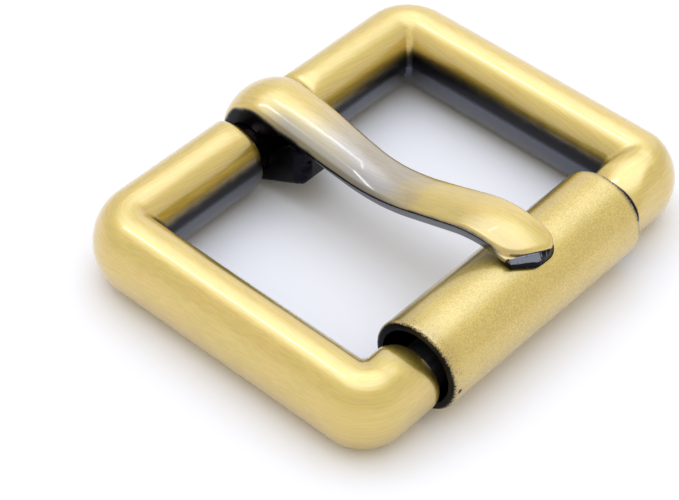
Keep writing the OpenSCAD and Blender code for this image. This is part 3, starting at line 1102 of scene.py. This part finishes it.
# Painted shade: the near side of the blade darkens towards brown, and a weaker band lies in the
# dip, where the hollow mirrors something darker.
painted_shade = over(-y, -0.2, 1.5) * (0.88 - over(x, -2.0, 5.0) * 0.65) * over(x, -12.5, -8.0)
painted_shade = largest(painted_shade, over(x, -4.5, -1.5) * (1 - over(x, 1.0, 4.5)) * 0.22)
silver = mixed(ramp(streaks, 0.3, 0.7), *SILVER)
skin = mixed(painted_shade, mixed(rubbed, brass, silver), SHADE_BROWN)

# The cut face is grey bare metal that turns black towards the far side: real chips, and painted
# shade on the cut's far part.
cut_face = ramp(layer - over(y, -0.4, 1.4) * 0.45 + uneven * 0.3, 1.42, 1.5)
chips_and_shade = ramp(patches * 0.6 + streaks * 0.4 + over(y, -0.8, 1.0) * 0.1, 0.55, 0.6)
hidden = ramp(layer + uneven * 0.3, 0.3, 0.6)
at_near_tip = over(x, 11.0, 11.8) * over(-y, 0.0, 1.0)
edge_line = ramp(to_edge + uneven * 0.1, 0.93, 1.0) * (1 - at_near_tip)
black = largest(hidden, edge_line) * (1 - cut_face)

# Inside the hook the oxide is matte and nearly black: real oxide, darkened further as painted
# shade of the recess.
hook_oxide_and_shade = (1 - over(x, -5.8, -4.5)) * black
# The tip's lower edge and the underside just below the tip are matte black: an oxidised edge, and
# painted shadow of the narrow gap over the roller.
lower_edge = largest(ramp(layer, 1.02, 1.1), over(x, 11.3, 11.8) * ramp(layer, 0.9, 1.0))
black_edge_and_shadow = largest(lower_edge * (1 - cut_face), cut_face * chips_and_shade) * 0.95
matte = largest(hook_oxide_and_shade * 0.97, specks(scaled(place, 300.0), 0.1), black_edge_and_shadow)
metal = mixed(cut_face, skin, mixed(chips_and_shade, STEEL_GREY, CHIP_AND_SHADE))
blacken(shader, metal, streaks, black, matte, OXIDE, DEEP_PATINA_AND_SHADE)
print(tongue_brass.name, len(tree.nodes), "nodes")

# %% [markdown]
# ## The grained roller and the steel pin
#
# The roller is satin, with a fine grain that is bump and colour at once. The oxide creeps
# over its rims in a ragged line, further in at the near end, and brown dots lie thick
# there. The pin is plain drawn steel, with fine lines round it.

# %% Finishes of the roller and the pin
DULL_SATIN, BRIGHT_SATIN, DOT = (0.5, 0.35, 0.05), (0.7, 0.515, 0.1), (0.27, 0.175, 0.025)
THIN_OXIDE, ROLLER_PATINA = (0.1, 0.055, 0.025), (0.004, 0.004, 0.007)
STEEL = (0.3, 0.3, 0.31), (0.5, 0.5, 0.5)

roller_brass, tree, shader = lacquered("satin_antique_brass", 0.16)
x, y, _ = place = object_place(tree)
speckle = noise(scaled(place, 8500.0), 2.0, 0.7)
patches = noise(scaled(place, 700.0, 500.0, 700.0), 3.0, 0.6)
rim = attribute(tree, "blackened")[0]
near_end = over(y, 2.0, -4.0)
reach = near_end * (over(x, 11.0, 14.5) * 0.06 - 0.25) - 0.14
black = ramp(speckle * 0.8 + patches * 0.3 - 0.33 + reach - rim, -0.45, 0.18)
brass = mixed(ramp(speckle * 0.8 + patches * 0.2, 0.36, 0.66), DULL_SATIN, BRIGHT_SATIN)
dots = ramp(speckle - rim * 0.08, 0.47, 0.54) * near_end
relief(shader, speckle, 0.45)
thick_oxide = ramp(black, 0.3, 0.9)
pits = specks(scaled(place, 330.0), 0.15)
blacken(
    shader, mixed(dots * 0.8, brass, DOT), speckle, black, largest(thick_oxide * 0.95, pits),
    mixed(thick_oxide, THIN_OXIDE, OXIDE), ROLLER_PATINA)

steel, tree, shader = new_material("drawn_steel", Metallic=1.0)
lines = noise(scaled(object_place(tree), 4000.0, 150.0, 4000.0), 3.0, 0.6)
plug(mixed(lines, *STEEL), shader.inputs["Base Color"])
plug(lines * 0.2 + 0.25, shader.inputs["Roughness"])
print("finishes:", frame_brass.name, tongue_brass.name, roller_brass.name, steel.name)

# %% [markdown]
# ## Making the pieces
#
# Each tree runs on its route, and each closed shell gets its faces turned outward. The
# tongue's side view is cut into triangles first. Its flat flanks end in a marked edge, so
# that they stay flat in the light. The pin keeps its CAD mesh and gets its steel.

# %% Pieces
def finish_skin(piece, side_flag=None):
    """Turns the faces outward and keeps flat flanks apart from rounded edges."""
    mesh = piece.data
    shell = bmesh.new()
    shell.from_mesh(mesh)
    bmesh.ops.recalc_face_normals(shell, faces=shell.faces)
    if side_flag:
        flags = [v.vector[2] for v in mesh.attributes[side_flag].data]
        flat = {f for f in shell.faces if all(flags[v.index] > 0.5 for v in f.verts)}
        for e in shell.edges:
            if len({f in flat for f in e.link_faces}) == 2:
                e.smooth = False
    print(f"{piece.name}: {len(shell.calc_loop_triangles())} triangles,",
          f"{shell.calc_volume(signed=True) / MM ** 3:.0f} mm3,",
          sum(len(e.link_faces) != 2 for e in shell.edges), "open edges")
    shell.to_mesh(mesh)
    shell.free()
    return piece


cast_frame = finish_skin(casting.run("cast_frame", route_mesh(frame_route), {
    "Rings": len(frame_route), "Section points": 96, "Bar width": BAR_WIDTH * MM,
    "Bar height": BAR_HEIGHT * MM, "Crest radius": CREST * MM,
    "Inner corner": INNER_CORNER * MM, "Blend": 0.3 * MM, "Finish": frame_brass,
}))
roller_tube = finish_skin(tube.run("roller_tube", route_mesh(wall_route), {
    "Rings": len(wall_route), "Steps": 128, "Finish": roller_brass,
}))
side_points = tongue_route + inside
flat = [Vector((s["at"].x, s["at"].z)) / MM for s in side_points]
cut = delaunay_2d_cdt(flat, [], [list(range(len(tongue_route)))], 1, 1e-6)
faces = [[cut[3][v][0] for v in face] for face in cut[2]]
side_mesh = route_mesh(side_points, faces)
tongue_strap = finish_skin(thick.run("hooked_tongue", side_mesh, {
    "Rows": len(tongue_route), "Columns": 41, "Crown": CROWN * MM,
    "Full half width": TONGUE_W / 2 * MM, "Tip centre": tip_c * MM, "Tip radius": TIP_R * MM,
    "Lift off table": HOOK_LIFT * MM, "Hump x": hump_c.x * MM, "Hump z": hump_c.y * MM,
    "Finish": tongue_brass,
}), "worn")

for slot in frame["nodes"]["roller_pin"].material_slots:
    slot.material = steel

# %% [markdown]
# ## Riding on the joints
#
# The tongue swings on the neck and the roller spins about its own axis. Each dressed piece
# rides on the body that its CAD twin belongs to and stands in for that twin.

# %% Bodies of the pieces
for piece, body, node, slot in (
    (cast_frame, "frame", "frame", "antique_brass"),
    (roller_tube, "roller", "roller", "satin_brass"),
    (tongue_strap, "tongue", "tongue", "antique_brass"),
):
    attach(piece, body)
    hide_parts(node)
